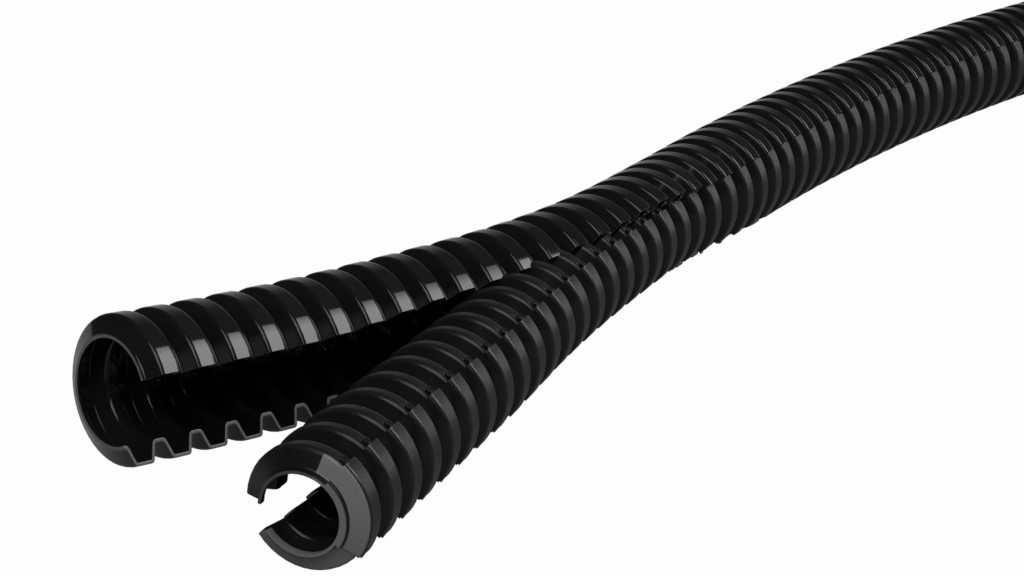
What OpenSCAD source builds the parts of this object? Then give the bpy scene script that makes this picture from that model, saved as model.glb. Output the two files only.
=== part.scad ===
// Divisible corrugated cable conduit: two C-section shells that snap into one
// round tube, peeled apart at the near end. Millimetres, Z up, floor at z = 0.

/* [Conduit] */
// Outside diameter over the crests
outside_diameter = 21.2; // [15:0.1:40]
// Distance from one crest to the next
pitch = 6.4; // [4:0.05:10]
// Number of crests on each shell
crest_count = 80; // [50:1:240]

/* [Wave] */
// Length of a crest's flat top, as a share of the pitch
crest_share = 0.50; // [0.35:0.01:0.6]
// Length of a trough's flat bottom, as a share of the pitch
trough_share = 0.22; // [0.15:0.01:0.3]
// Height of a crest above its trough
wave_height = 2.75; // [1.5:0.05:4]

/* [Walls] */
// Wall thickness of each shell
wall = 0.5; // [0.3:0.05:1]
// Clearance between the nested shells
clearance = 0.15; // [0.05:0.01:0.4]

/* [Slots] */
// Width of the outer shell's slot, in degrees
slot_angle = 78; // [60:1:100]
// Its width where the inner shell leaves it, in degrees
slot_parting = 110; // [78:1:130]
// Its width at the sprung end, in degrees
slot_end = 91; // [78:1:120]
// Width of the inner shell's gap, in degrees
gap_angle = 92; // [60:1:110]
// Seam left on each side of the strip that fills the slot, in degrees
seam_angle = 1; // [0.5:0.1:3]
// How far the slot's middle points below the horizontal, in degrees
slot_tilt = 2; // [-30:1:45]

/* [Closed run] */
// Crests on the gently bent part of the closed run
bend_count = 28; // [12:1:40]
// Turn of the closed run at each crest there, in degrees
bend_turn = 0.60; // [0.05:0.01:2]

/* [Peeled arms] */
// Crests on the outer shell's arm
outer_count = 18; // [12:1:30]
// Crests on the inner shell's arm
inner_count = 19; // [12:1:30]
// Crests over which the shells part
part_count = 8; // [4:1:10]
// Turn of the outer shell at each crest as it parts, in degrees
outer_away = 2.64; // [0.5:0.01:4]
// Turn back of the outer shell at each crest after that, in degrees
outer_back = 0.43; // [0:0.01:2]
// Climb of the outer shell at each crest after that, in degrees
outer_climb = 0.67; // [0:0.01:2]
// Turn of the inner shell at each crest as it parts, in degrees
inner_away = 0.43; // [0:0.01:2]
// Turn of the inner shell at each crest after that, in degrees
inner_on = 0.14; // [0.05:0.01:2]
// Twist of the inner shell at each crest of its arm, in degrees
inner_twist = 0.6; // [0:0.1:2]
// Radius of the squeezed inner shell, as a share of its own
inner_squeeze = 0.89; // [0.88:0.01:1]
// Its radius where it leaves the slot
inner_pinch = 0.83; // [0.82:0.01:1]
// Radius of the outer shell's sprung end, as a share of its own
outer_spring = 1.03; // [1:0.01:1.2]
// Its radius where the inner shell leaves the slot
outer_open = 1.05; // [1:0.01:1.2]
// How far the slot rolls under as the outer shell parts, in degrees
outer_roll = 15; // [0:1:30]

/* [Hidden] */
$fn = 64;

// the wave's radii and stations
crest_r = outside_diameter / 2;
crest_flat = crest_share * pitch;
trough_flat = trough_share * pitch;
flank = (pitch - crest_flat - trough_flat) / 2;
flank_step = tan(atan2(wave_height, flank) / 2); // flat lost per unit of depth
nest = wall + clearance;                         // depth of the inner shell's skin
wave_half = crest_flat / 2 + flank;              // crest centre to trough flat
foot = 0.3 * trough_flat;                        // plain end of a crest's root
bury = 0.6 * foot;                               // how far a trough runs into a foot
lap = 0.03;                                      // step that buries one piece in another
edge = 0.5;                                      // degrees a trough keeps inside a crest's ends
run_count = crest_count - bend_count - max(outer_count, inner_count);
first = -bend_count;                             // the straight run's last crest

// stages along the arms, counted in crests from where the shells start to part
function ease(t) = let (u = min(max(t, 0), 1)) u * u * (3 - 2 * u);
function passing(j) = ease((j + 3) / 5) * (1 - ease((j - part_count - 1) / 5));
function parted(j) = ease((j + 3) / 5) - passing(j);
function outer_r(j) = crest_r * (1 + (outer_open - 1) * passing(j) + (outer_spring - 1) * parted(j));
function squeeze(j) = 1 - (1 - inner_pinch) * passing(j + 2) - (1 - inner_squeeze) * parted(j + 2);
function inner_r(j) = nest + (crest_r - nest) * squeeze(j);

// where each wall begins and ends round the tube
function slot_aim(j) = -slot_tilt - outer_roll * ease(j / 10);
function slot_width(j) = slot_angle + (slot_parting - slot_angle) * passing(j) + (slot_end - slot_angle) * parted(j);
function outer_span(j) = let (w = 180 - slot_width(j) / 2, c = slot_aim(j) + 180) [c - w, c + w];
function strip_aim(j) = -slot_tilt + inner_twist * max(j, 0);
function inner_span(j) = let (w = (360 - gap_angle) / squeeze(j) / 2, c = strip_aim(j)) [c - w, c + w];
function strip_span(j) = let (w = (slot_angle / 2 - seam_angle) / squeeze(j), c = strip_aim(j)) [c - w, c + w];
function shared(a, b) = [max(a[0], b[0]) + edge, min(a[1], b[1]) - edge];

// bend in the trough before crest j: [turn to the slot's side, climb]
function second(a, b, c) = (a - 2 * b + c) / pitch * 180 / PI;
function drop(j) = (inner_r(inner_count) - crest_r) * ease((j - part_count / 2) / part_count);
function inner_lift(j) = second(drop(j + 0.5), drop(j - 0.5), drop(j - 1.5));
function outer_bend(j) = j <= 0 ? [bend_turn, 0] : j <= part_count ? [-outer_away, 0] : [outer_back, outer_climb];
function inner_bend(j) = j <= 0 ? [bend_turn, 0] : [j <= part_count ? inner_away : inner_on, inner_lift(j)];

// frames of the crests: local z along the tube, x to the slot's side, y up
function move(x, y, z) = [[1, 0, 0, x], [0, 1, 0, y], [0, 0, 1, z], [0, 0, 0, 1]];
function spin_z(a) = [[cos(a), -sin(a), 0, 0], [sin(a), cos(a), 0, 0], [0, 0, 1, 0], [0, 0, 0, 1]];
function spin_y(a) = [[cos(a), 0, sin(a), 0], [0, 1, 0, 0], [-sin(a), 0, cos(a), 0], [0, 0, 0, 1]];
hinge = wave_half + foot - bury;     // crest centre to the end of a trough piece
link = pitch - 2 * hinge;            // length of a trough piece
function tilt(b) = let (q = atan2(b[1], b[0])) spin_z(q) * spin_y(norm(b) / 2) * spin_z(-q);
function onward(b) = move(0, 0, hinge) * tilt(b) * move(0, 0, link) * tilt(b) * move(0, 0, hinge);
function outer_frames(m, j) = j >= outer_count ? [m] : concat([m], outer_frames(m * onward(outer_bend(j + 1)), j + 1));
function inner_frames(m, j) = j >= inner_count ? [m] : concat([m], inner_frames(m * onward(inner_bend(j + 1)), j + 1));

start = [[0, 0, -1, 0], [-1, 0, 0, 0], [0, 1, 0, 0], [0, 0, 0, 1]];
outer_way = outer_frames(start, first);
inner_way = inner_frames(start, first);

// the row's box, from points round the crests of the walls
function around(m, r, span) = [for (a = [span[0]:5:span[1] + 5], z = [-1, 1] * crest_flat / 2)
    let (p = m * [r * cos(min(a, span[1])), r * sin(min(a, span[1])), z, 1]) [p[0], p[1], p[2]]];
shadow = concat(
    [for (k = [0:len(outer_way) - 1]) each around(outer_way[k], outer_r(first + k), outer_span(first + k))],
    [for (k = [0:len(inner_way) - 1]) each around(inner_way[k], inner_r(first + k) - nest, inner_span(first + k))],
    [for (k = [0:len(inner_way) - 1]) each around(inner_way[k], inner_r(first + k), strip_span(first + k))]);
far_x = (run_count - 1) * pitch + wave_half + foot;
near_x = min([for (p = shadow) p[0]]);
side_y = [min([for (p = shadow) p[1]]), max([for (p = shadow) p[1]])];
floor_z = min([for (p = shadow) p[2]]);
centre = [(far_x + near_x) / 2, (side_y[0] + side_y[1]) / 2, floor_z];

// wave profile at a depth below the outer skin: root, crest, crest, root;
// the root before the crest may stand at another radius, where a shell changes
function wave(r, d, z, from) = let (c = crest_flat / 2 - flank_step * d, w = wave_half - flank_step * d)
    [[from - wave_height - d, z - w], [r - d, z - c], [r - d, z + c], [r - wave_height - d, z + w]];
function flip(v) = [for (k = [len(v) - 1:-1:0]) v[k]];
function inside(v) = [for (k = [1:len(v) - 2]) v[k]];

// n crests of wall between depths a and b, over a span of angles
module crests(r, from, a, b, span, n = 1, reach = foot) {
    near = from - wave_height;
    root = r - wave_height;
    end = (n - 1) * pitch;
    shift = wave_half - flank_step * a - lap * flank / wave_height;
    dip = wave_half - flank_step * b;
    skin = [for (k = [0:n - 1]) each wave(r, a, k * pitch, from)];
    bore = flip([for (k = [0:n - 1]) each wave(r, b, k * pitch, from)]);
    rotate(span[0])
        rotate_extrude(angle = span[1] - span[0])
            polygon(concat(
                [[near - b - lap, -wave_half - reach], [near - a + lap, -wave_half - reach], [near - a + lap, -shift]],
                inside(skin),
                [[root - a + lap, end + shift], [root - a + lap, end + wave_half + reach],
                    [root - b - lap, end + wave_half + reach], [root - b - lap, end + dip]],
                bore,
                [[near - b - lap, -dip]]));
}

// section of a trough's wall over a span of angles
module wedge(r, a0, a1)
    polygon([[0, 0], 4 * r * [cos(a0), sin(a0)], 4 * r * [cos(a1), sin(a1)]]);

module trough_section(r0, r1, span)
    if (span[1] - span[0] > 180)
        difference() {
            circle(r1);
            circle(r0);
            wedge(r1, span[1], span[0] + 360);
        }
    else
        intersection() {
            difference() {
                circle(r1);
                circle(r0);
            }
            wedge(r1, span[0], span[1]);
        }

// a trough that leads on from a crest's frame: its child is its section
module trough(b)
    translate([0, 0, hinge])
        multmatrix(tilt(b))
            linear_extrude(link)
                children();

// outer shell: one wall with a slot facing the side
module outer_shell()
    color([0.05, 0.05, 0.055])
        translate(-centre) {
            multmatrix(start)
                translate([0, 0, -(run_count - 1) * pitch])
                    crests(crest_r, crest_r, 0, wall, outer_span(first), run_count);
            for (k = [1:len(outer_way) - 1]) {
                j = first + k;
                root = outer_r(j - 1) - wave_height;
                multmatrix(outer_way[k - 1])
                    trough(outer_bend(j))
                        trough_section(root - wall, root, shared(outer_span(j - 1), outer_span(j)));
                multmatrix(outer_way[k])
                    crests(outer_r(j), outer_r(j - 1), 0, wall, outer_span(j));
            }
        }

// inner shell's thin wall, all round but for its gap
module thin_wall() {
    multmatrix(start)
        translate([0, 0, -(run_count - 1) * pitch])
            crests(crest_r, crest_r, nest, nest + wall, inner_span(first), run_count);
    for (k = [1:len(inner_way) - 1]) {
        j = first + k;
        root = inner_r(j - 1) - nest - wave_height;
        multmatrix(inner_way[k - 1])
            trough(inner_bend(j))
                trough_section(root - wall, root, shared(inner_span(j - 1), inner_span(j)));
        multmatrix(inner_way[k])
            crests(inner_r(j), inner_r(j - 1), nest, nest + wall, inner_span(j));
    }
}

// inner shell's strip: it stands out to the outer shell's skin and fills its slot
module strip() {
    depth = nest + wall / 2;
    reach = foot + 2 * lap;
    multmatrix(start)
        translate([0, 0, -(run_count - 1) * pitch])
            crests(crest_r, crest_r, 0, depth, strip_span(first), run_count, reach);
    for (k = [1:len(inner_way) - 1]) {
        j = first + k;
        root = inner_r(j - 1) - wave_height;
        multmatrix(inner_way[k - 1])
            trough(inner_bend(j))
                trough_section(root - depth, root, shared(strip_span(j - 1), strip_span(j)));
        multmatrix(inner_way[k])
            crests(inner_r(j), inner_r(j - 1), 0, depth, strip_span(j), 1, reach);
    }
}

module inner_shell()
    color([0.09, 0.09, 0.095])
        translate(-centre) {
            union() { thin_wall(); }
            union() { strip(); }
        }

outer_shell();
inner_shell();
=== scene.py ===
"""Looks of a divisible corrugated conduit: two C-section shells peeled apart at one end.

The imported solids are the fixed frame. Each shell is swept again over the same path, with the
rounded wave, the latch tabs and the seam that moulded plastic has, and gets its own finish.
"""

from __future__ import annotations

import logging
import math
import random
from collections.abc import Callable
from dataclasses import dataclass, field
from enum import Enum

import bmesh
import bpy
import numpy as np
from mathutils import Matrix, Vector

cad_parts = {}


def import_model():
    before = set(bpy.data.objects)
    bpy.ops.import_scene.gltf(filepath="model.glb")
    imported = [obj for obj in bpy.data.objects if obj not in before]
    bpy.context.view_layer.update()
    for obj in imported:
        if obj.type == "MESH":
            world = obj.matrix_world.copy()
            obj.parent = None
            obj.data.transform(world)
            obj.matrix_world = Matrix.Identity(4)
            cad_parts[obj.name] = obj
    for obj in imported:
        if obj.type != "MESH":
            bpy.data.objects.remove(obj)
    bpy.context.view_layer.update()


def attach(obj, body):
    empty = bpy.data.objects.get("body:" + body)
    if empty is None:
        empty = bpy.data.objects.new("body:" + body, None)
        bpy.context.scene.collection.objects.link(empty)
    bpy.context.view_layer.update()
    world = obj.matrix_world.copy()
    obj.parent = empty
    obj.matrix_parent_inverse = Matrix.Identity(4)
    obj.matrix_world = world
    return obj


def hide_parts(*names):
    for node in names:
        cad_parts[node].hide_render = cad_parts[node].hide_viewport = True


LOG = logging.getLogger("conduit")
MM = 0.001
SHARP_ANGLE = 52.0  # degrees; faces that meet at more keep a hard edge
MERGE_DISTANCE = 4e-6  # metres; swept points closer than this become one
ARC_STEP = 5  # degrees between the points that measure a crest
EDGE_DEPTH = 0.08  # share of a wall's depth that counts as its skin or its bore
CUT_BLEND = 0.0001  # metres over which a cut end's pale face, partly painted light, starts
PLASTIC_IOR = 1.50
MEAN = 0.5  # the middle of a noise's range

Triple = tuple[float, float, float]
Station = tuple[float, float]


class Edge(Enum):
    """A lengthwise edge of the strip that fills the slot."""

    LOWER = 0
    UPPER = 1


class Skin(Enum):
    """The walls that are swept along the path."""

    OUTER = "outer_wall"
    LINER = "inner_wall"
    STRIP = "slot_strip"


# --------------------------------------------------------------------------- node helpers


class Reading:
    """A value socket on which Python's operators build maths nodes."""

    def __init__(self, bench: "Bench", socket: bpy.types.NodeSocket) -> None:
        """Keeps the bench that the socket belongs to."""
        self.bench = bench
        self.socket = socket

    def maths(self, operation: str, *others: object) -> "Reading":
        """Adds one maths node that starts with this value.

        Args:
            operation: The maths node's operation.
            others: The values after this one.

        Returns:
            The node's result.
        """
        return self.bench.maths(operation, self, *others)

    def __add__(self, other: object) -> "Reading":
        """This value plus another."""
        return self.maths("ADD", other)

    def __radd__(self, other: object) -> "Reading":
        """Another value plus this one."""
        return self.bench.maths("ADD", other, self)

    def __sub__(self, other: object) -> "Reading":
        """This value less another."""
        return self.maths("SUBTRACT", other)

    def __rsub__(self, other: object) -> "Reading":
        """Another value less this one."""
        return self.bench.maths("SUBTRACT", other, self)

    def __mul__(self, other: object) -> "Reading":
        """This value times another."""
        return self.maths("MULTIPLY", other)

    def __rmul__(self, other: object) -> "Reading":
        """Another value times this one."""
        return self.bench.maths("MULTIPLY", other, self)

    def __truediv__(self, other: object) -> "Reading":
        """This value over another."""
        return self.maths("DIVIDE", other)

    def floor(self) -> "Reading":
        """This value rounded down."""
        return self.maths("FLOOR")

    def over(self, other: object) -> "Reading":
        """1 where this value is greater than another, else 0."""
        return self.maths("GREATER_THAN", other)

    def under(self, other: object) -> "Reading":
        """1 where this value is less than another, else 0."""
        return self.maths("LESS_THAN", other)

    def least(self, other: object) -> "Reading":
        """The smaller of this value and another."""
        return self.maths("MINIMUM", other)

    def most(self, other: object) -> "Reading":
        """The greater of this value and another."""
        return self.maths("MAXIMUM", other)

    def held(self) -> "Reading":
        """This value held between 0 and 1."""
        return self.most(0.0).least(1.0)

    def ramp(self, low: float, high: float) -> "Reading":
        """A smooth step from 0 at low to 1 at high.

        Args:
            low: The value that gives 0.
            high: The value that gives 1.

        Returns:
            The step's value.
        """
        node = self.bench.add(
            "ShaderNodeMapRange",
            {"interpolation_type": "SMOOTHSTEP"},
            {"Value": self, "From Min": low, "From Max": high},
        )
        return Reading(self.bench, node.outputs["Result"])


class Bench:
    """Adds nodes to one tree."""

    def __init__(self, tree: bpy.types.NodeTree) -> None:
        """Starts with an empty tree."""
        self.tree = tree
        tree.nodes.clear()

    def add(
        self,
        kind: str,
        settings: dict[str, object] | None = None,
        values: dict[str | int, object] | None = None,
    ) -> bpy.types.Node:
        """Adds a node.

        Args:
            kind: The node's type.
            settings: Its settings, set before its sockets.
            values: What each input socket gets: a number, a colour, or a link.

        Returns:
            The new node.
        """
        node = self.tree.nodes.new(kind)
        for name, setting in (settings or {}).items():
            setattr(node, name, setting)
        for key, value in (values or {}).items():
            self.feed(node.inputs[key], value)
        return node

    def feed(self, socket: bpy.types.NodeSocket, value: object) -> None:
        """Links a socket, or sets its value.

        Args:
            socket: The input socket.
            value: A number, a colour, a socket or a reading.
        """
        if isinstance(value, Reading):
            value = value.socket
        if isinstance(value, bpy.types.NodeSocket):
            self.tree.links.new(value, socket)
        else:
            socket.default_value = value

    def maths(self, operation: str, *values: object) -> Reading:
        """Adds a maths node and returns its result."""
        node = self.add("ShaderNodeMath", {"operation": operation}, dict(enumerate(values)))
        return Reading(self, node.outputs[0])

    def read(self, socket: bpy.types.NodeSocket) -> Reading:
        """Wraps a socket so that operators work on it."""
        return Reading(self, socket)

    def vector(self, operation: str, *values: object) -> bpy.types.NodeSocket:
        """Adds a vector maths node and returns its vector."""
        node = self.add("ShaderNodeVectorMath", {"operation": operation}, dict(enumerate(values)))
        return node.outputs["Vector"]

    def scaled(self, vector: object, scale: object) -> bpy.types.NodeSocket:
        """A vector times a value."""
        values = {"Vector": vector, "Scale": scale}
        return self.add("ShaderNodeVectorMath", {"operation": "SCALE"}, values).outputs["Vector"]

    def along(self, vector: object, way: tuple[float, float, float]) -> Reading:
        """How far a vector goes along a direction."""
        node = self.add("ShaderNodeVectorMath", {"operation": "DOT_PRODUCT"}, {0: vector, 1: way})
        return self.read(node.outputs["Value"])

    def attribute(self, name: str) -> Reading:
        """Reads a value that a piece's points carry."""
        return self.read(self.add("ShaderNodeAttribute", {"attribute_name": name}).outputs["Fac"])

    def noise(self, place: object, scale: float, detail: float, roughness: float = 0.5) -> Reading:
        """Adds noise over a place and returns its value."""
        values = {"Vector": place, "Scale": scale, "Detail": detail, "Roughness": roughness}
        return self.read(self.add("ShaderNodeTexNoise", None, values).outputs["Fac"])

    def mixed(self, share: Reading, first: object, second: object) -> bpy.types.NodeSocket:
        """Mixes two colours: a share of 0 gives the first and of 1 the second."""
        node = self.add("ShaderNodeMix", {"data_type": "RGBA"}, {0: share, 6: first, 7: second})
        return node.outputs[2]

    def arrange(self, columns: int = 8) -> None:
        """Spreads the nodes over rows so that the tree can be read."""
        for k, node in enumerate(self.tree.nodes):
            node.location = (220 * (k % columns), -260 * (k // columns))


# --------------------------------------------------------------------------- the conduit's rules


def ease(t: float) -> float:
    """A smooth step from 0 to 1."""
    u = min(max(t, 0.0), 1.0)
    return u * u * (3 - 2 * u)


def spin_z(a: float) -> Matrix:
    """A turn about the tube, in degrees."""
    return Matrix.Rotation(math.radians(a), 4, "Z")


def spin_y(a: float) -> Matrix:
    """A turn of the tube to the slot's side, in degrees."""
    return Matrix.Rotation(math.radians(a), 4, "Y")


def onto(z: float) -> Matrix:
    """A step along the tube."""
    return Matrix.Translation((0, 0, z))


@dataclass(frozen=True)
class ConduitRule:
    """Sizes of the conduit in millimetres and degrees, as its source has them.

    A crest is counted by j from where the shells start to part; j is negative on the closed run.
    """

    outside_diameter: float = 21.2
    pitch: float = 6.4
    crest_count: int = 80
    crest_share: float = 0.50
    trough_share: float = 0.22
    wave_height: float = 2.75
    wall: float = 0.5
    clearance: float = 0.15
    slot_angle: float = 78
    slot_parting: float = 110
    slot_end: float = 91
    gap_angle: float = 92
    seam_angle: float = 1
    slot_tilt: float = 2
    bend_count: int = 28
    bend_turn: float = 0.60
    outer_count: int = 18
    inner_count: int = 19
    part_count: int = 8
    outer_away: float = 2.64
    outer_back: float = 0.43
    outer_climb: float = 0.67
    inner_away: float = 0.43
    inner_on: float = 0.14
    inner_twist: float = 0.6
    inner_squeeze: float = 0.89
    inner_pinch: float = 0.83
    outer_spring: float = 1.03
    outer_open: float = 1.05
    outer_roll: float = 15
    foot_share: float = 0.3
    hinge_share: float = 0.4
    part_lead: float = 3
    part_blend: float = 5
    pinch_lead: float = 2
    roll_count: float = 10

    @property
    def crest_r(self) -> float:
        """Radius over the crests of the closed tube."""
        return self.outside_diameter / 2

    @property
    def crest_flat(self) -> float:
        """Length of a crest's flat top."""
        return self.crest_share * self.pitch

    @property
    def trough_flat(self) -> float:
        """Length of a trough's flat bottom."""
        return self.trough_share * self.pitch

    @property
    def flank(self) -> float:
        """Length along the tube that a flank takes."""
        return (self.pitch - self.crest_flat - self.trough_flat) / 2

    @property
    def flank_step(self) -> float:
        """Flat lost per unit of depth."""
        return math.tan(math.atan2(self.wave_height, self.flank) / 2)

    @property
    def nest(self) -> float:
        """Depth of the inner shell's skin."""
        return self.wall + self.clearance

    @property
    def wave_half(self) -> float:
        """From a crest's centre to its trough."""
        return self.crest_flat / 2 + self.flank

    @property
    def foot(self) -> float:
        """Length of the plain root that a cut end keeps."""
        return self.foot_share * self.trough_flat

    @property
    def first(self) -> int:
        """The last crest of the straight run."""
        return -self.bend_count

    @property
    def run_count(self) -> int:
        """Crests on the straight run."""
        return self.crest_count - self.bend_count - max(self.outer_count, self.inner_count)

    def left(self, j: float) -> float:
        """How far a crest has left the closed run."""
        return ease((j + self.part_lead) / self.part_blend)

    def passing(self, j: float) -> float:
        """How far a crest is within the zone where the shells part."""
        return self.left(j) * (1 - ease((j - self.part_count - 1) / self.part_blend))

    def parted(self, j: float) -> float:
        """How far a crest is past that zone."""
        return self.left(j) - self.passing(j)

    def outer_r(self, j: float) -> float:
        """Crest radius of the outer shell."""
        grow = (self.outer_open - 1) * self.passing(j) + (self.outer_spring - 1) * self.parted(j)
        return self.crest_r * (1 + grow)

    def squeeze(self, j: float) -> float:
        """Share of its own radius that the inner shell keeps."""
        i = j + self.pinch_lead
        return 1 - (1 - self.inner_pinch) * self.passing(i) - (1 - self.inner_squeeze) * self.parted(i)

    def inner_r(self, j: float) -> float:
        """Crest radius of the inner shell's strip."""
        return self.nest + (self.crest_r - self.nest) * self.squeeze(j)

    def outer_span(self, j: float) -> tuple[float, float]:
        """Angles between which the outer shell runs.

        Args:
            j: The crest's number.

        Returns:
            Its lower and upper angle, in degrees.
        """
        slot = (
            self.slot_angle
            + (self.slot_parting - self.slot_angle) * self.passing(j)
            + (self.slot_end - self.slot_angle) * self.parted(j)
        )
        middle = 180 - self.slot_tilt - self.outer_roll * ease(j / self.roll_count)
        return middle - 180 + slot / 2, middle + 180 - slot / 2

    def strip_aim(self, j: float) -> float:
        """Angle of the strip's middle."""
        return -self.slot_tilt + self.inner_twist * max(j, 0)

    def inner_span(self, j: float) -> tuple[float, float]:
        """Angles between which the inner shell's thin wall runs."""
        half = (360 - self.gap_angle) / self.squeeze(j) / 2
        return self.strip_aim(j) - half, self.strip_aim(j) + half

    def strip_span(self, j: float) -> tuple[float, float]:
        """Angles between which the strip runs."""
        half = (self.slot_angle / 2 - self.seam_angle) / self.squeeze(j)
        return self.strip_aim(j) - half, self.strip_aim(j) + half

    def outer_bend(self, j: int) -> tuple[float, float]:
        """Turn and climb of the outer shell before a crest.

        Args:
            j: The crest's number.

        Returns:
            The turn and the climb, in degrees.
        """
        if j <= 0:
            return self.bend_turn, 0.0
        return (-self.outer_away, 0.0) if j <= self.part_count else (self.outer_back, self.outer_climb)

    def inner_bend(self, j: int) -> tuple[float, float]:
        """Turn and climb of the inner shell before a crest.

        Args:
            j: The crest's number.

        Returns:
            The turn and the climb, in degrees.
        """
        if j <= 0:
            return self.bend_turn, 0.0
        sink = self.drop(j + 0.5) - 2 * self.drop(j - 0.5) + self.drop(j - 1.5)
        turn = self.inner_away if j <= self.part_count else self.inner_on
        return turn, math.degrees(sink / self.pitch)

    def drop(self, j: float) -> float:
        """How far the inner shell sinks as it grows thin."""
        whole = self.inner_r(self.inner_count) - self.crest_r
        return whole * ease((j - self.part_count / 2) / self.part_count)

    def ways(self) -> tuple[list[Matrix], list[Matrix]]:
        """Frames of every crest of both shells, from the far end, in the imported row's frame.

        Returns:
            The outer shell's frames and the inner shell's: z along the tube, x to the slot, y up.
        """
        start = Matrix(((0, 0, -1, 0), (-1, 0, 0, 0), (0, 1, 0, 0), (0, 0, 0, 1)))
        hinge = self.wave_half + self.hinge_share * self.foot
        link = self.pitch - 2 * hinge
        found = []
        for bend, last in ((self.outer_bend, self.outer_count), (self.inner_bend, self.inner_count)):
            way = [start @ onto(-k * self.pitch) for k in range(self.run_count - 1, -1, -1)]
            for j in range(self.first + 1, last + 1):
                turn, climb = bend(j)
                aim = math.degrees(math.atan2(climb, turn))
                tilt = spin_z(aim) @ spin_y(math.hypot(turn, climb) / 2) @ spin_z(-aim)
                way.append(way[-1] @ onto(hinge) @ tilt @ onto(link) @ tilt @ onto(hinge))
            found.append(way)
        shift = Matrix.Translation(-self.centre(*found))
        return [shift @ m for m in found[0]], [shift @ m for m in found[1]]

    def centre(self, outer: list[Matrix], inner: list[Matrix]) -> Vector:
        """The point of the unplaced tube that the row frame starts from.

        Args:
            outer: The outer shell's frames.
            inner: The inner shell's frames.

        Returns:
            The middle of the footprint at the height of the lowest crest.
        """
        shadow: list[Vector] = []
        skip = self.run_count - 1
        for k, m in enumerate(outer[skip:]):
            shadow += self.around(m, self.outer_r(self.first + k), self.outer_span(self.first + k))
        for k, m in enumerate(inner[skip:]):
            j = self.first + k
            shadow += self.around(m, self.inner_r(j) - self.nest, self.inner_span(j))
            shadow += self.around(m, self.inner_r(j), self.strip_span(j))
        far = (self.run_count - 1) * self.pitch + self.wave_half + self.foot
        low = [min(p[i] for p in shadow) for i in range(3)]
        return Vector(((far + low[0]) / 2, (low[1] + max(p.y for p in shadow)) / 2, low[2]))

    def around(self, m: Matrix, r: float, span: tuple[float, float]) -> list[Vector]:
        """Points round both edges of a crest.

        Args:
            m: The crest's frame.
            r: Its radius.
            span: The angles between which it runs.

        Returns:
            The points, in millimetres.
        """
        turns = np.radians(np.minimum(np.arange(span[0], span[1] + ARC_STEP, ARC_STEP), span[1]))
        ends = (-self.crest_flat / 2, self.crest_flat / 2)
        return [m @ Vector((r * math.cos(a), r * math.sin(a), z)) for a in turns for z in ends]

    def crest_number(self, k: int) -> int:
        """The crest j of the k-th frame of a way."""
        return k - (self.run_count - 1) + self.first


# --------------------------------------------------------------------------- sweeping a wall


@dataclass(frozen=True)
class WaveSkin:
    """Rounded wave at one depth below the outer skin."""

    rule: ConduitRule
    depth: float
    crest_round: float
    trough_round: float
    reach: float = 0.0
    crown: float = 0.14

    def half(self) -> list[Station]:
        """Stations of the near half of a wave, from crest to trough.

        Returns:
            Pairs of the distance from the crest's centre and the height, 1 on the crest.
        """
        rule = self.rule
        top = rule.crest_flat / 2 - rule.flank_step * self.depth
        base = rule.wave_half - rule.flank_step * self.depth
        length = math.hypot(rule.flank, rule.wave_height)
        run, fall = rule.flank / length, rule.wave_height / length
        lean = math.atan2(rule.wave_height, rule.flank) / 2
        rows: list[Station] = []
        corners = ((top, 1.0, self.crest_round, -1), (base, 0.0, self.trough_round, 1))
        for corner, level, size, side in corners:
            cut = size / math.tan(lean) * (1 / math.cos(lean) - 1)
            rounded = level + side * cut * math.cos(lean) / rule.wave_height
            middle = (corner + side * cut * math.sin(lean), rounded)
            flat = (corner + side * size, level)
            sloped = (corner - side * size * run, level + side * size * fall / rule.wave_height)
            rows += [flat, middle, sloped] if side < 0 else [sloped, middle, flat]
        return [(rows[0][0] - self.crown, 1.0)] + rows


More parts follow.
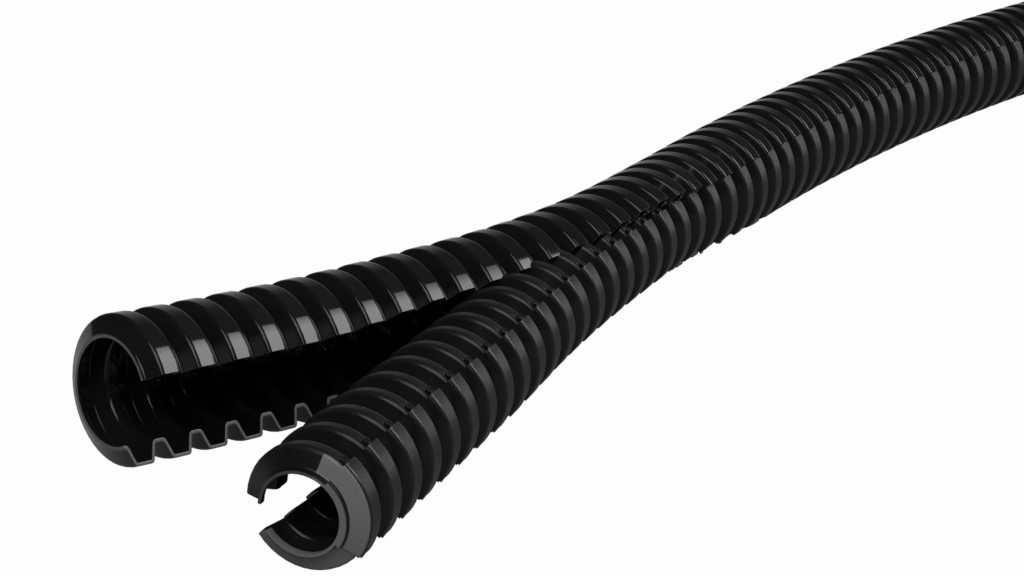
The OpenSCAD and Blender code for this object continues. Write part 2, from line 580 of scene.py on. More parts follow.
@dataclass
class SweptWall:
    """A corrugated wall between two depths, swept along a way by Geometry Nodes."""

    rule: ConduitRule
    way: list[Matrix]
    skin: WaveSkin
    bore: WaveSkin
    radius: Callable[[float], float]
    span: Callable[[float], tuple[float, float]]
    name: str
    columns: int = 38
    lip: float = 0.05

    def rows(self, k: int, turn: int) -> list[tuple[Station, Station]]:
        """Stations on one side of a crest, in their order along the tube.

        Args:
            k: The crest's place on the way.
            turn: -1 for the side towards the far end, 1 for the near side.

        Returns:
            Pairs of a station of the skin and the one of the bore that goes with it.
        """
        rows = list(zip(self.skin.half(), self.bore.half()))
        if not 0 <= k + turn < len(self.way):
            end = (self.rule.wave_half + self.rule.foot + self.skin.reach, 0.0)
            rows.append((end, end))
        elif turn > 0:
            trough = (self.rule.pitch / 2, 0.0)
            rows.append((trough, trough))
        return rows if turn > 0 else rows[::-1]

    def stations(self) -> dict[str, list]:
        """Works out every station's place and sizes, in metres.

        Returns:
            Lists by attribute: the axis point and its frame, both radii, the bore's shift, the
            angles, the height on the wave and the distance along the tube.
        """
        rule = self.rule
        names = ("at", "side", "up", "ahead", "r_skin", "r_bore", "shift", "a0", "a1", "rise", "along")
        out: dict[str, list] = {name: [] for name in names}
        for k, m in enumerate(self.way):
            j = rule.crest_number(k)
            crest = (self.radius(j), *self.span(j))
            for turn in (-1, 1):
                near = j + turn if 0 <= k + turn < len(self.way) else j
                trough = [(a + b) / 2 for a, b in zip(crest, (self.radius(near), *self.span(near)))]
                for (s, rise), (t, bore_rise) in self.rows(k, turn):
                    frame = m @ onto(turn * s)
                    if s == rule.pitch / 2:
                        frame = self.halfway(frame, self.way[k + 1] @ onto(-s))
                    r, a0, a1 = (b + (a - b) * rise for a, b in zip(crest, trough))
                    skin_r = r - rule.wave_height * (1 - rise)
                    bore_r = trough[0] + (crest[0] - trough[0]) * bore_rise
                    bore_r -= rule.wave_height * (1 - bore_rise)
                    out["at"].append(frame.translation * MM)
                    out["side"].append(frame.col[0].to_3d())
                    out["up"].append(frame.col[1].to_3d())
                    out["ahead"].append(frame.col[2].to_3d())
                    out["r_skin"].append((skin_r - self.skin.depth) * MM)
                    out["r_bore"].append((bore_r - self.bore.depth) * MM)
                    out["shift"].append(turn * (t - s) * MM)
                    out["a0"].append(math.radians(a0))
                    out["a1"].append(math.radians(a1))
                    out["rise"].append(rise)
                    out["along"].append((k * rule.pitch + turn * s) * MM)
        return out

    @staticmethod
    def halfway(a: Matrix, b: Matrix) -> Matrix:
        """The frame midway between two close ones.

        Args:
            a: The one.
            b: The other.

        Returns:
            The frame with the mean place and the mean turn.
        """
        mid = a.to_quaternion().slerp(b.to_quaternion(), 0.5).to_matrix().to_4x4()
        mid.translation = (a.translation + b.translation) / 2
        return mid

    def build(self, finish: bpy.types.Material) -> bpy.types.Object:
        """Sweeps the wall.

        Args:
            finish: The wall's material.

        Returns:
            The wall as a plain mesh at the origin.
        """
        found = self.stations()
        mesh = bpy.data.meshes.new(self.name + "_stations")
        mesh.from_pydata(found["at"], [], [])
        for name, values in found.items():
            if name == "at":
                continue
            vector = isinstance(values[0], Vector)
            layer = mesh.attributes.new(name, "FLOAT_VECTOR" if vector else "FLOAT", "POINT")
            flat = np.array([tuple(v) if vector else v for v in values], np.float32).ravel()
            layer.data.foreach_set("vector" if vector else "value", flat)
        holder = bpy.data.objects.new(self.name + "_path", mesh)
        inputs = {"Columns": self.columns, "Lip": self.lip * MM, "Finish": finish}
        return run_tree(holder, sweep_tree(), inputs, self.name)


def run_tree(
    holder: bpy.types.Object, tree: bpy.types.NodeTree, inputs: dict[str, object], name: str
) -> bpy.types.Object:
    """Runs a node tree on an object and keeps the result as a plain mesh.

    Args:
        holder: The object that carries the tree's starting mesh; it is removed.
        tree: The Geometry Nodes tree.
        inputs: The tree's inputs by name.
        name: The new piece's name.

    Returns:
        A mesh object at the origin, its faces turned outwards.
    """
    bpy.context.scene.collection.objects.link(holder)
    modifier = holder.modifiers.new("rule", "NODES")
    modifier.node_group = tree
    for item in tree.interface.items_tree:
        if item.item_type == "SOCKET" and item.in_out == "INPUT" and item.name in inputs:
            modifier[item.identifier] = inputs[item.name]
    holder.update_tag()
    graph = bpy.context.evaluated_depsgraph_get()
    mesh = bpy.data.meshes.new_from_object(holder.evaluated_get(graph), depsgraph=graph)
    holder.modifiers.remove(modifier)
    bpy.data.objects.remove(holder)
    mesh.name = name
    turn_outwards(mesh)
    mesh.set_sharp_from_angle(angle=math.radians(SHARP_ANGLE))
    piece = bpy.data.objects.new(name, mesh)
    bpy.context.scene.collection.objects.link(piece)
    return piece


def turn_outwards(mesh: bpy.types.Mesh) -> None:
    """Turns a closed mesh's faces outwards if its volume says that they point in.

    Args:
        mesh: The mesh, turned in place.
    """
    mesh.calc_loop_triangles()
    co = np.empty(len(mesh.vertices) * 3)
    mesh.vertices.foreach_get("co", co)
    tri = np.empty(len(mesh.loop_triangles) * 3, np.int32)
    mesh.loop_triangles.foreach_get("vertices", tri)
    a, b, c = co.reshape(-1, 3)[tri.reshape(-1, 3)].transpose(1, 0, 2)
    if float((a * np.cross(b, c)).sum()) < 0:
        mesh.flip_normals()


def sweep_tree() -> bpy.types.NodeTree:
    """The tree that sweeps a C section of wall over its stations.

    Returns:
        The tree, made once and shared by the walls.
    """
    name = "wall_sweep"
    if name in bpy.data.node_groups:
        return bpy.data.node_groups[name]
    tree = bpy.data.node_groups.new(name, "GeometryNodeTree")
    face = tree.interface
    face.new_socket("Stations", in_out="INPUT", socket_type="NodeSocketGeometry")
    face.new_socket("Columns", in_out="INPUT", socket_type="NodeSocketInt")
    face.new_socket("Lip", in_out="INPUT", socket_type="NodeSocketFloat")
    face.new_socket("Finish", in_out="INPUT", socket_type="NodeSocketMaterial")
    face.new_socket("Wall", in_out="OUTPUT", socket_type="NodeSocketGeometry")
    bench = Bench(tree)
    given = bench.add("NodeGroupInput")
    stations = given.outputs["Stations"]
    arc = bench.read(given.outputs["Columns"])
    sizes = bench.add(
        "GeometryNodeAttributeDomainSize", {"component": "MESH"}, {"Geometry": stations}
    )
    count = bench.read(sizes.outputs["Point Count"])
    loop = 2 * arc + 5
    grid = bench.add("GeometryNodeMeshGrid", None, {"Vertices X": count + 2, "Vertices Y": loop})
    index = bench.read(bench.add("GeometryNodeInputIndex").outputs[0])
    row = ((index + 0.5) / loop).floor()
    col = index - row * loop
    middle = row.over(0.5) * row.under(count + 0.5)
    station = (row - 1).most(0.0).least(count - 1)
    first_half = col.under(arc + 1.5)
    share = ((first_half * col + (1 - first_half) * (2 * arc + 2 - col)) / arc).held()
    depth = (((col - arc) / 2).least((2 * arc + 4 - col) / 2)).held() * middle
    lip = (first_half * 2 - 1) * depth.over(0.4) * depth.under(0.6)

    def sample(name: str, vector: bool = False) -> bpy.types.NodeSocket:
        """Reads a station's attribute for this point's row.

        Args:
            name: The attribute.
            vector: Whether it holds vectors.

        Returns:
            The attribute's value.
        """
        kind = "FLOAT_VECTOR" if vector else "FLOAT"
        source = bench.add("GeometryNodeInputNamedAttribute", {"data_type": kind}, {"Name": name})
        node = bench.add(
            "GeometryNodeSampleIndex",
            {"data_type": kind, "domain": "POINT", "clamp": True},
            {"Geometry": stations, "Value": source.outputs["Attribute"], "Index": station},
        )
        return node.outputs["Value"]

    place = bench.add("GeometryNodeInputPosition").outputs[0]
    axis = bench.add(
        "GeometryNodeSampleIndex",
        {"data_type": "FLOAT_VECTOR", "domain": "POINT", "clamp": True},
        {"Geometry": stations, "Value": place, "Index": station},
    ).outputs["Value"]
    r_skin, r_bore = bench.read(sample("r_skin")), bench.read(sample("r_bore"))
    a0, a1 = bench.read(sample("a0")), bench.read(sample("a1"))
    radius = r_skin + (r_bore - r_skin) * depth
    angle = a0 + (a1 - a0) * share + lip * bench.read(given.outputs["Lip"]) / radius
    outward = bench.vector(
        "ADD",
        bench.scaled(sample("side", True), angle.maths("COSINE")),
        bench.scaled(sample("up", True), angle.maths("SINE")),
    )
    ahead = bench.scaled(sample("ahead", True), bench.read(sample("shift")) * depth)
    target = bench.vector("ADD", bench.vector("ADD", axis, ahead), bench.scaled(outward, radius))
    flow = bench.add(
        "GeometryNodeSetPosition", None, {"Geometry": grid.outputs["Mesh"], "Position": target}
    )
    for label, value in (
        ("around", angle),
        ("rise", bench.read(sample("rise"))),
        ("along", bench.read(sample("along"))),
        ("depth", depth),
    ):
        flow = bench.add(
            "GeometryNodeStoreNamedAttribute",
            {"data_type": "FLOAT", "domain": "POINT"},
            {"Geometry": flow.outputs["Geometry"], "Name": label, "Value": value},
        )
    flow = bench.add(
        "GeometryNodeMergeByDistance",
        None,
        {"Geometry": flow.outputs["Geometry"], "Distance": MERGE_DISTANCE},
    )
    flow = bench.add("GeometryNodeSetShadeSmooth", None, {"Geometry": flow.outputs["Geometry"]})
    flow = bench.add("GeometryNodeRealizeInstances", None, {"Geometry": flow.outputs["Geometry"]})
    flow = bench.add(
        "GeometryNodeSetMaterial",
        None,
        {"Geometry": flow.outputs["Geometry"], "Material": given.outputs["Finish"]},
    )
    bench.add("NodeGroupOutput", None, {"Wall": flow.outputs["Geometry"]})
    bench.arrange()
    return tree


# --------------------------------------------------------------------------- latch tabs


def tab_tree() -> bpy.types.NodeTree:
    """The tree that stands one small tab on every point, turned by the point's axes.

    Returns:
        The tree, made once and shared.
    """
    name = "tab_row"
    if name in bpy.data.node_groups:
        return bpy.data.node_groups[name]
    tree = bpy.data.node_groups.new(name, "GeometryNodeTree")
    face = tree.interface
    face.new_socket("Points", in_out="INPUT", socket_type="NodeSocketGeometry")
    face.new_socket("Tab", in_out="INPUT", socket_type="NodeSocketObject")
    face.new_socket("Finish", in_out="INPUT", socket_type="NodeSocketMaterial")
    face.new_socket("Tabs", in_out="OUTPUT", socket_type="NodeSocketGeometry")
    bench = Bench(tree)
    given = bench.add("NodeGroupInput")

    def carried(name: str) -> bpy.types.NodeSocket:
        """Reads a vector that the points carry.

        Args:
            name: The attribute.

        Returns:
            Its vector.
        """
        node = bench.add(
            "GeometryNodeInputNamedAttribute", {"data_type": "FLOAT_VECTOR"}, {"Name": name}
        )
        return node.outputs["Attribute"]

    shape = bench.add(
        "GeometryNodeObjectInfo", {"transform_space": "ORIGINAL"}, {"Object": given.outputs["Tab"]}
    )
    turn = bench.add(
        "FunctionNodeAxesToRotation",
        {"primary_axis": "Z", "secondary_axis": "X"},
        {"Primary Axis": carried("outward"), "Secondary Axis": carried("ahead")},
    )
    points = bench.add("GeometryNodeMeshToPoints", None, {"Mesh": given.outputs["Points"]})
    flow = bench.add(
        "GeometryNodeInstanceOnPoints",
        None,
        {
            "Points": points.outputs["Points"],
            "Instance": shape.outputs["Geometry"],
            "Rotation": turn.outputs["Rotation"],
            "Scale": carried("size"),
        },
    )
    flow = bench.add("GeometryNodeRealizeInstances", None, {"Geometry": flow.outputs["Instances"]})
    flow = bench.add("GeometryNodeSetShadeSmooth", None, {"Geometry": flow.outputs["Geometry"]})
    flow = bench.add(
        "GeometryNodeSetMaterial",
        None,
        {"Geometry": flow.outputs["Geometry"], "Material": given.outputs["Finish"]},
    )
    bench.add("NodeGroupOutput", None, {"Tabs": flow.outputs["Geometry"]})
    bench.arrange()
    return tree


@dataclass
class TabRow:
    """Small moulded tabs along an edge of a shell, one or more at every crest."""

    name: str
    points: list[Vector] = field(default_factory=list)
    outward: list[Vector] = field(default_factory=list)
    ahead: list[Vector] = field(default_factory=list)
    size: list[Vector] = field(default_factory=list)
    bevel: float = 0.16

    def put(self, m: Matrix, angle: float, radius: float, along: float, size: Triple) -> None:
        """Adds a tab.

        Args:
            m: The crest's frame.
            angle: Where it stands round the tube, in degrees.
            radius: Its middle's distance from the axis.
            along: Its distance from the crest's centre.
            size: Its length along the tube, width round it and height, in millimetres.
        """
        a = math.radians(angle)
        self.points.append((m @ Vector((radius * math.cos(a), radius * math.sin(a), along))) * MM)
        turn = m.to_3x3()
        self.outward.append(turn @ Vector((math.cos(a), math.sin(a), 0)))
        self.ahead.append(turn @ Vector((0, 0, 1)))
        self.size.append(Vector(size) * MM)

    def build(self, finish: bpy.types.Material) -> bpy.types.Object:
        """Stands the tabs on their points.

        Args:
            finish: The tabs' material.

        Returns:
            All tabs as one mesh at the origin.
        """
        mesh = bpy.data.meshes.new(self.name + "_points")
        mesh.from_pydata(self.points, [], [])
        for name in ("outward", "ahead", "size"):
            layer = mesh.attributes.new(name, "FLOAT_VECTOR", "POINT")
            flat = np.array([tuple(v) for v in getattr(self, name)], np.float32).ravel()
            layer.data.foreach_set("vector", flat)
        block = bmesh.new()
        bmesh.ops.create_cube(block, size=1.0)
        bmesh.ops.bevel(
            block, geom=block.edges[:], offset=self.bevel, segments=2, profile=0.6, affect="EDGES"
        )
        unit = bpy.data.meshes.new("tab_unit")
        block.to_mesh(unit)
        block.free()
        shape = bpy.data.objects.new("tab_unit", unit)
        holder = bpy.data.objects.new(self.name + "_holder", mesh)
        piece = run_tree(holder, tab_tree(), {"Tab": shape, "Finish": finish}, self.name)
        bpy.data.objects.remove(shape)
        return piece


# --------------------------------------------------------------------------- finishes


def grey(tone: float, share: float = 1.0, blue: float = 1.0) -> tuple[float, float, float, float]:
    """A share of a tone in red and green, and another in blue."""
    return (tone * share, tone * share, tone * blue, 1)


def grown(least: float, share: Reading) -> Reading:
    """A value that grows from a least one to 1 with a share."""
    return least + (1 - least) * share


def cut_edge(depth: Reading) -> Reading:
    """1 on a wall's cut edge, between its skin at depth 0 and its bore at 1."""
    return depth.over(EDGE_DEPTH) * depth.under(1 - EDGE_DEPTH)


def coat(bench: Bench, tone: object, rough: Reading, bump: bpy.types.Node) -> None:
    """Ends a finish in its shader for moulded plastic.

    Args:
        bench: The material's bench.
        tone: The base colour.
        rough: The roughness.
        bump: The bump node.
    """
    values = {
        "Base Color": tone,
        "Roughness": rough.held(),
        "IOR": PLASTIC_IOR,
        "Normal": bump.outputs["Normal"],
    }
    shader = bench.add("ShaderNodeBsdfPrincipled", None, values)
    bench.add("ShaderNodeOutputMaterial", None, {"Surface": shader.outputs[0]})
    bench.arrange()


@dataclass(frozen=True)
class GlossShellFinish:
    """Moulded black plastic with a wet gloss: the outer shell; its cut edges are painted grey as a
    highlight.
    """

    base: float = 0.020
    dusted: float = 1.7
    dusted_blue: float = 1.65
    roughness: float = 0.075
    grain: float = 0.018
    # painted highlight: the grey tone and share that the wall's cut edges get, standing for their lit
    # edge
    pale_and_lit_cut_tone: float = 0.30
    cut_glint_share: float = 0.8
    drawn: float = 0.0016
    line_scale: float = 3800.0
    wave_scale: float = 260.0
    speck_scale: float = 2600.0
    edge_rough: float = 0.3
    line_rough: float = 0.06
    wave_rough: float = 0.05
    speck_rough: float = 0.25
    trough_rough: float = 0.03
    speck_dust: float = 0.5
    wave_dust: float = 0.3
    line_bump: float = 0.7
    wave_bump: float = 2.0
    bump_strength: float = 0.10

    def make(self) -> bpy.types.Material:
        """Builds the material.

        Returns:
            The material, which reads the attributes of a swept wall.
        """
        material = bpy.data.materials.new("outer_plastic")
        material.use_nodes = True
        bench = Bench(material.node_tree)
        place = bench.add("ShaderNodeTexCoord").outputs["Object"]
        rise, depth = bench.attribute("rise"), bench.attribute("depth")
        around, along = bench.attribute("around"), bench.attribute("along")
        flow = bench.add("ShaderNodeCombineXYZ", None, {"X": along, "Y": around * self.drawn})
        lines = bench.noise(flow.outputs[0], self.line_scale, detail=3.0, roughness=0.6)
        waves = bench.noise(place, self.wave_scale, detail=2.0)
        specks = bench.noise(place, self.speck_scale, detail=2.0).ramp(low=0.70, high=0.80)
        edge = cut_edge(depth)
        rough = (
            self.roughness
            + edge * self.edge_rough
            + (lines - MEAN) * self.line_rough
            + (waves - MEAN) * self.wave_rough
            + specks * self.speck_rough
            + (1 - rise) * self.trough_rough
        )
        clouds = waves.ramp(low=0.35, high=0.75)
        dust = (specks * self.speck_dust + clouds * self.wave_dust).held()
        clean, pale = grey(self.base, blue=1.05), grey(self.base, self.dusted, self.dusted_blue)
        tone = bench.mixed(dust, clean, pale)
        # Painted highlight: the cut edges are painted grey as the lit edge of the slot.
        tone = bench.mixed(edge * self.cut_glint_share, tone, grey(self.pale_and_lit_cut_tone))
        bump = bench.add(
            "ShaderNodeBump",
            None,
            {
                "Strength": self.bump_strength,
                "Distance": self.grain * MM,
                "Height": lines * self.line_bump + waves * self.wave_bump,
            },
        )
        coat(bench, tone, rough, bump)
        return material


@dataclass(frozen=True)
class SatinShellFinish:
    """Black plastic with a handled satin skin: the inner shell. Its crests carry a painted sheen,
    paler above the parting line, with handling wear in it; the lower part of its cut end is painted
    pale, partly as light, with a painted glint on the cut edges and a painted shade line at the end's
    foot.
    """

    base: float = 0.019
    # the paler crest tone: painted satin sheen, with handling wear mixed in
    sheen_and_rubbed: float = 1.7
    sheen_and_rubbed_blue: float = 1.65
    crest_roughness: float = 0.31
    trough_roughness: float = 0.20
    scratch: float = 0.03
    parting: float = -30.0
    parting_blend: float = 3.0
    cut_end: float = 0.0
    # the cut end is painted pale only below this angle, the part that faces the light; above it the
    # end stays dark
    lit_cut_top: float = 72.0
    pale_and_lit_cut_tone: float = 0.46
    cut_rough: float = 0.12
    # share of the pale tone that the cut edges get as a painted glint
    edge_glint_share: float = 0.35
    drawn: float = 0.0012
    line_scale: float = 5200.0
    fine_scale: float = 2400.0
    worn_scale: float = 190.0
    low_rough: float = 0.45
    # share of the painted sheen that crests keep below the parting line
    below_parting_sheen: float = 0.25
    line_rough: float = 0.16
    worn_rough: float = 0.16
    least_handled: float = 0.35
    line_handled: float = 0.7
    fine_handled: float = 1.2
    line_bump: float = 0.8
    fine_bump: float = 0.7
    worn_bump: float = 0.6
    bump_strength: float = 0.35

    def make(self) -> bpy.types.Material:
        """Builds the material.

        Returns:
            The material, which reads the attributes of a swept wall.
        """
        material = bpy.data.materials.new("inner_plastic")
        material.use_nodes = True
        bench = Bench(material.node_tree)
        place = bench.add("ShaderNodeTexCoord").outputs["Object"]
        rise, depth = bench.attribute("rise"), bench.attribute("depth")
        around, along = bench.attribute("around"), bench.attribute("along")
        flow = bench.add("ShaderNodeCombineXYZ", None, {"X": along, "Y": around * self.drawn})
        lines = bench.noise(flow.outputs[0], self.line_scale, detail=4.0, roughness=0.7)
        fine = bench.noise(place, self.fine_scale, detail=4.0, roughness=0.65)
        worn = bench.noise(place, self.worn_scale, detail=3.0)
        crest = rise.ramp(low=0.75, high=1.0)
        near_end = along.ramp(self.cut_end * MM - CUT_BLEND, self.cut_end * MM + CUT_BLEND)
        cut = near_end * (1 - rise.ramp(low=0.90, high=0.97))
        above = around.ramp(
            math.radians(self.parting - self.parting_blend),
            math.radians(self.parting + self.parting_blend),
        )
        rough = (
            self.trough_roughness
            + crest * (self.crest_roughness - self.trough_roughness) * grown(self.low_rough, above)
            + (lines - MEAN) * self.line_rough
            + (worn - MEAN) * self.worn_rough
        )
        handled = self.least_handled + lines * self.line_handled + (fine - MEAN) * self.fine_handled
        # Painted sheen: crests, most above the parting line, get the paler tone that stands for their
        # satin highlight; the noise in handled adds real wear.
        sheen_and_wear = (crest * grown(self.below_parting_sheen, above) * handled).held()
        clean, pale = grey(self.base, blue=1.04), grey(self.base, self.sheen_and_rubbed, self.sheen_and_rubbed_blue)
        tone = bench.mixed(sheen_and_wear, clean, pale)
        # Painted shade: a dark fold line is kept at the foot of the cut end, where the flank meets the
        # bore, by leaving the pale tone off there.
        foot = rise.under(0.05) * depth.under(0.2)
        # Partly painted light: the cut end is its own paler colour, and it is painted pale only below
        # lit_cut_top, the part that faces the light.
        pale_lit_cut_face = cut * around.under(math.radians(self.lit_cut_top)) * (1 - foot) * (0.75 + fine * 0.5)
        # Painted highlight: the cut edges get a share of the pale tone as a glint.
        lit_cut_and_edge_glint = pale_lit_cut_face.most(cut_edge(depth) * self.edge_glint_share)
        tone = bench.mixed(lit_cut_and_edge_glint.held(), tone, grey(self.pale_and_lit_cut_tone))
        rough = rough + cut * self.cut_rough
        bump = bench.add(
            "ShaderNodeBump",
            None,
            {
                "Strength": self.bump_strength,
                "Distance": self.scratch * MM,
                "Height": lines * self.line_bump + fine * self.fine_bump + worn * self.worn_bump,
            },
        )
        coat(bench, tone, rough, bump)
        return material


# --------------------------------------------------------------------------- the two shells


@dataclass
class OuterShell:
    """The glossy C shell that springs open as it leaves the tube."""

    rule: ConduitRule
    way: list[Matrix]
    finish: GlossShellFinish = field(default_factory=GlossShellFinish)
    slip: float = 36.0
    slip_start: float = -7.0
    slip_rise: float = 2.5
    slip_end: float = 1.0
    slip_fall: float = 4.0

    def span(self, j: float) -> tuple[float, float]:
        """Angles of the wall; one edge slips back where the inner shell leaves the slot.

        Args:
            j: The crest's number.

        Returns:
            Its lower and upper angle, in degrees.
        """
        low, high = self.rule.outer_span(j)
        slipping = ease((j - self.slip_start) / self.slip_rise)
        return low, high - self.slip * slipping * (1 - ease((j - self.slip_end) / self.slip_fall))

    def build(self) -> list[bpy.types.Object]:
        """Sweeps and dresses the shell.

        Returns:
            The shell's one piece.
        """
        rule = self.rule
        wall = SweptWall(
            rule,
            self.way,
            WaveSkin(rule, depth=0.0, crest_round=0.42, trough_round=0.30),
            WaveSkin(rule, depth=rule.wall, crest_round=0.14, trough_round=0.50),
            rule.outer_r,
            self.span,
            Skin.OUTER.value,
        )
        piece = wall.build(self.finish.make())
        settle([piece], "outer_shell")
        return [piece]


@dataclass
class InnerShell:
    """The satin shell: a thin C wall and the strip on it that fills the outer shell's slot."""

    rule: ConduitRule
    way: list[Matrix]
    finish: SatinShellFinish | None = None
    seed: int = 7
    reach: float = 16.0
    reach_start: float = 6.0
    reach_rise: float = 6.0
    tip: float = 4.0
    strip_reach: float = 0.06
    strip_sunk: float = 0.25
    seam_share: float = 0.75
    hook_size: Triple = (1.2, 1.1, 0.55)
    tick_size: Triple = (0.35, 0.9, 0.5)
    bump_size: tuple[float, float] = (0.9, 0.35)
    bump_height: tuple[float, float] = (0.18, 0.42)

    def span(self, j: float) -> tuple[float, float]:
        """Angles of the liner; its upper edge reaches further round on the peeled arm.

        Args:
            j: The crest's number.

        Returns:
            Its lower and upper angle, in degrees.
        """
        low, high = self.rule.inner_span(j)
        last = self.rule.crest_number(len(self.way) - 1)
        further = self.reach * ease((j - self.reach_start) / self.reach_rise)
        return low - self.tip * ease(j - last + 1), high + further

    def build(self) -> list[bpy.types.Object]:
        """Sweeps and dresses the shell's walls and its tabs.

        Returns:
            The liner, the strip and the tabs.
        """
        rule = self.rule
        end = (len(self.way) - 1) * rule.pitch + rule.crest_flat / 4
        material = (self.finish or SatinShellFinish(cut_end=end)).make()
        liner = SweptWall(
            rule,
            self.way,
            WaveSkin(rule, depth=rule.nest, crest_round=0.60, trough_round=0.34),
            WaveSkin(rule, depth=rule.nest + rule.wall, crest_round=0.12, trough_round=0.50),
            rule.inner_r,
            self.span,
            Skin.LINER.value,
        )
        sunk = rule.nest + self.strip_sunk
        strip = SweptWall(
            rule,
            self.way,
            WaveSkin(rule, 0.0, crest_round=0.48, trough_round=0.30, reach=self.strip_reach),
            WaveSkin(rule, sunk, crest_round=0.14, trough_round=0.40, reach=self.strip_reach),
            rule.inner_r,
            rule.strip_span,
            Skin.STRIP.value,
            columns=18,
        )
        pieces = [liner.build(material), strip.build(material), self.tabs(material)]
        settle(pieces, "inner_shell")
        return pieces

    def tabs(self, material: bpy.types.Material) -> bpy.types.Object:
        """Makes the latch tabs that the strip's edges carry at each crest.

        Args:
            material: The tabs' material.

        Returns:
            All tabs as one piece.
        """
        rule = self.rule
        chance = random.Random(self.seed)
        row = TabRow("latch_tabs")
        for k, m in enumerate(self.way):
            j = rule.crest_number(k)
            r = rule.inner_r(j)
            for edge in Edge:
                side = 1 if edge is Edge.UPPER else -1
                angle = rule.strip_span(j)[edge.value]
                if j >= 1:
                    hook, tick = r - rule.nest + 0.12, r - 0.22
                    row.put(m, angle + side * 3.0, hook, 0.1, self.hook_size)
                    row.put(m, angle + side * 0.4, tick, 0.75, self.tick_size)
                elif chance.random() < self.seam_share:
                    size = (*self.bump_size, chance.uniform(*self.bump_height))
                    row.put(m, angle + side * 0.8, r - 0.02, chance.uniform(-0.9, 0.9), size)
        return row.build(material)


def settle(pieces: list[bpy.types.Object], node: str) -> None:
    """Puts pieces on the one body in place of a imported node.

    Args:
        pieces: The finished pieces.
        node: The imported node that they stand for.
    """
    for piece in pieces:
        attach(piece, "root")
        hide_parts(node)
        LOG.info("%s: %d faces", piece.name, len(piece.data.polygons))


# --------------------------------------------------------------------------- the studio


@dataclass(frozen=True)
class Softbox:
    """A rectangular softbox.

    Attributes:
        name: Its name.
        heading: The direction to it from the conduit's peeled end.
        away: Its distance, in metres.
        size: Its width and height, in metres.
        glow: How bright its face is, where 1 is white.
        fade: The share of its glow that its upper edge loses.
        fade_start: The share of its height above which it fades.
    """

    name: str
    heading: Triple
    away: float
    size: tuple[float, float]
    glow: float
    fade: float = 0.0
    fade_start: float = 0.55

    def build(self, aim: Vector) -> None:
        """Hangs the softbox so that it faces a point.

        Args:
            aim: The point, in metres.
        """
        lamp = bpy.data.lights.new(self.name, "AREA")
        lamp.shape = "RECTANGLE"
        lamp.size, lamp.size_y = self.size
        lamp.energy = self.glow * math.pi * self.size[0] * self.size[1]
        holder = bpy.data.objects.new(self.name, lamp)
        bpy.context.scene.collection.objects.link(holder)
        way = Vector(self.heading).normalized()
        holder.location = aim + way * self.away
        holder.rotation_euler = way.to_track_quat("Z", "Y").to_euler()
        holder.visible_camera = False
        lamp.use_nodes = True
        bench = Bench(lamp.node_tree)
        face = bench.add("ShaderNodeNewGeometry").outputs["Parametric"]
        height = bench.add("ShaderNodeSeparateXYZ", None, {"Vector": face}).outputs["Y"]
        shade = 1 - bench.read(height).ramp(self.fade_start, 1.0) * self.fade
        glowing = bench.add(
            "ShaderNodeEmission", None, {"Color": (1, 1, 1, 1), "Strength": shade}
        )
        bench.add("ShaderNodeOutputLight", None, {"Surface": glowing.outputs[0]})


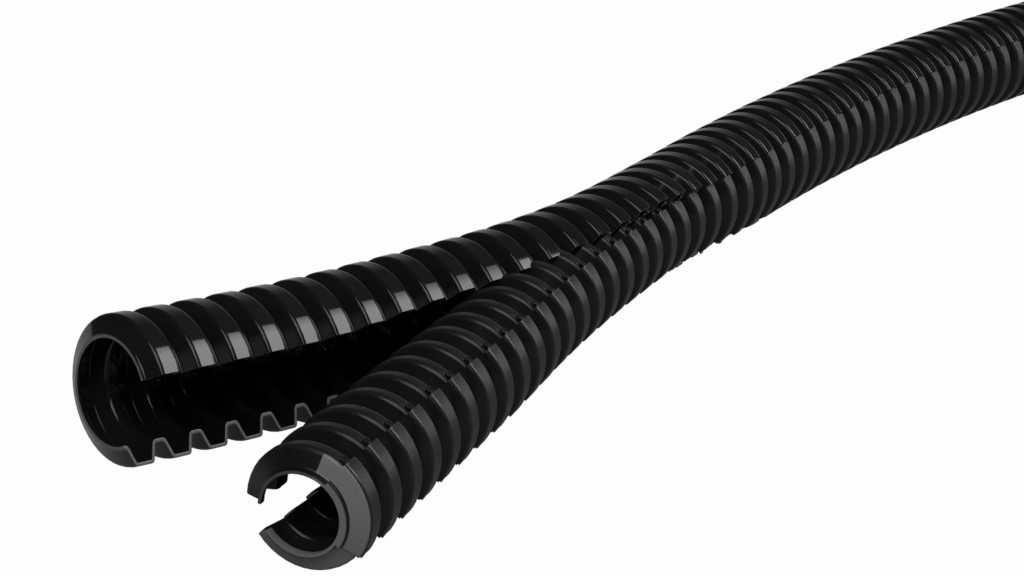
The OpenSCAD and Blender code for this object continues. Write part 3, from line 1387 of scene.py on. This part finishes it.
@dataclass
class Studio:
    """A pale floor, softboxes and the camera."""

    azimuth: float = 43.515
    elevation: float = 20.003
    roll: float = 0.807
    lens: float = 75.76
    eye: Triple = (-0.41175, -0.22613, 0.13182)
    aim: Triple = (-0.19, 0.0, 0.02)
    backdrop_gloss: float = 0.30
    near_gloss: float = 0.04
    floor_glow: float = 0.985
    floor_tone: float = 0.30
    floor_reach: float = 3.0
    far_side_way: Triple = (-0.15, 1.0, 0.0)
    far_side_from: float = 0.02
    far_side_to: float = 0.07
    back_level: float = 0.94
    back_rise: float = -0.34
    wall_from: float = 0.5
    wall_glow: float = 0.30
    room_glow: float = 0.03
    softboxes: tuple[Softbox, ...] = (
        Softbox("key_softbox", (0.64, -0.46, 0.62), 1.2, (0.50, 0.62), 4.9, 0.75),
        Softbox("side_panel", (0.97, -0.17, 0.13), 1.5, (1.15, 0.46), 0.85),
        Softbox("front_panel", (-0.49, -0.41, 0.77), 1.3, (0.9, 0.7), 1.9),
    )

    def build(self) -> None:
        """Sets up floor, world, lamps and camera."""
        self.floor()
        self.world()
        for softbox in self.softboxes:
            softbox.build(Vector(self.aim))
        self.camera()
        scene = bpy.context.scene
        scene.view_settings.view_transform = "Standard"

    def backdrop_switch(self, bench: Bench, gloss: Reading) -> Reading:
        """Lets the camera see the floor's glow, and gloss see a share of it.

        Args:
            bench: The floor material's bench.
            gloss: The share for glossy and transmitted rays.

        Returns:
            1 for rays from the camera and the share for the others.
        """
        path = bench.add("ShaderNodeLightPath")
        seen = bench.read(path.outputs["Is Camera Ray"])
        mirrored = bench.read(path.outputs["Is Glossy Ray"])
        through = bench.read(path.outputs["Is Transmission Ray"])
        return (seen + (mirrored + through) * gloss).held()

    def floor(self) -> None:
        """Lays the floor under the conduit; its gloss is paler on the conduit's far side."""
        mesh = bpy.data.meshes.new("floor")
        s = self.floor_reach
        mesh.from_pydata([(-s, -s, 0), (s, -s, 0), (s, s, 0), (-s, s, 0)], [], [(0, 1, 2, 3)])
        floor = bpy.data.objects.new("floor", mesh)
        bpy.context.scene.collection.objects.link(floor)
        material = bpy.data.materials.new("pale_floor")
        material.use_nodes = True
        bench = Bench(material.node_tree)
        diffuse = bench.add("ShaderNodeBsdfDiffuse", None, {"Color": grey(self.floor_tone)})
        glow = bench.add("ShaderNodeEmission", None, {"Color": (1, 1, 1, 1), "Strength": 1.0})
        place = bench.add("ShaderNodeTexCoord").outputs["Object"]
        across = bench.along(place, self.far_side_way)
        far_side = across.ramp(self.far_side_from, self.far_side_to)
        gloss = far_side * self.backdrop_gloss + self.near_gloss
        share = self.backdrop_switch(bench, gloss) * self.floor_glow
        mix = bench.add(
            "ShaderNodeMixShader", None, {0: share, 1: diffuse.outputs[0], 2: glow.outputs[0]}
        )
        bench.add("ShaderNodeOutputMaterial", None, {"Surface": mix.outputs[0]})
        mesh.materials.append(material)

    def world(self) -> None:
        """Makes the backdrop white to the camera and soft grey behind the conduit in its gloss."""
        world = bpy.data.worlds.new("studio")
        bpy.context.scene.world = world
        world.use_nodes = True
        bench = Bench(world.node_tree)
        heading = bench.add("ShaderNodeTexCoord").outputs["Generated"]
        turn = math.radians(self.azimuth)
        back = (self.back_level * math.cos(turn), self.back_level * math.sin(turn), self.back_rise)
        behind = bench.along(heading, back).ramp(self.wall_from, 1.0)
        wall = behind * self.wall_glow + self.room_glow
        seen = bench.read(bench.add("ShaderNodeLightPath").outputs["Is Camera Ray"])
        strength = seen + (1 - seen) * wall
        sky = bench.add("ShaderNodeBackground", None, {"Color": (1, 1, 1, 1), "Strength": strength})
        bench.add("ShaderNodeOutputWorld", None, {"Surface": sky.outputs[0]})

    def camera(self) -> None:
        """Adds the camera at its azimuth, elevation and roll."""
        az, el, roll = (math.radians(a) for a in (self.azimuth, self.elevation, self.roll))
        ahead = Vector((math.cos(el) * math.cos(az), math.cos(el) * math.sin(az), -math.sin(el)))
        level = ahead.cross(Vector((0, 0, 1))).normalized()
        rise = level.cross(ahead)
        right = math.cos(roll) * level + math.sin(roll) * rise
        up = math.cos(roll) * rise - math.sin(roll) * level
        data = bpy.data.cameras.new("camera")
        data.lens = self.lens
        data.sensor_width = 36.0
        data.clip_start = 0.02
        data.clip_end = 20.0
        camera = bpy.data.objects.new("camera", data)
        bpy.context.scene.collection.objects.link(camera)
        pose = Matrix((right, up, -ahead)).transposed().to_4x4()
        pose.translation = Vector(self.eye)
        camera.matrix_world = pose
        bpy.context.scene.camera = camera


# --------------------------------------------------------------------------- main


def main() -> None:
    """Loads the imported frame, builds both shells on it and sets up the studio."""
    logging.basicConfig(level=logging.INFO, format="%(name)s: %(message)s")
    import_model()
    rule = ConduitRule()
    outer_way, inner_way = rule.ways()
    LOG.info("outer shell's near crest at %s mm", [round(v, 2) for v in outer_way[-1].translation])
    for shell in (OuterShell(rule, outer_way), InnerShell(rule, inner_way)):
        pieces = shell.build()
        LOG.info("%s: %s", type(shell).__name__, ", ".join(p.name for p in pieces))
    Studio().build()


if __name__ == "__main__":
    main()
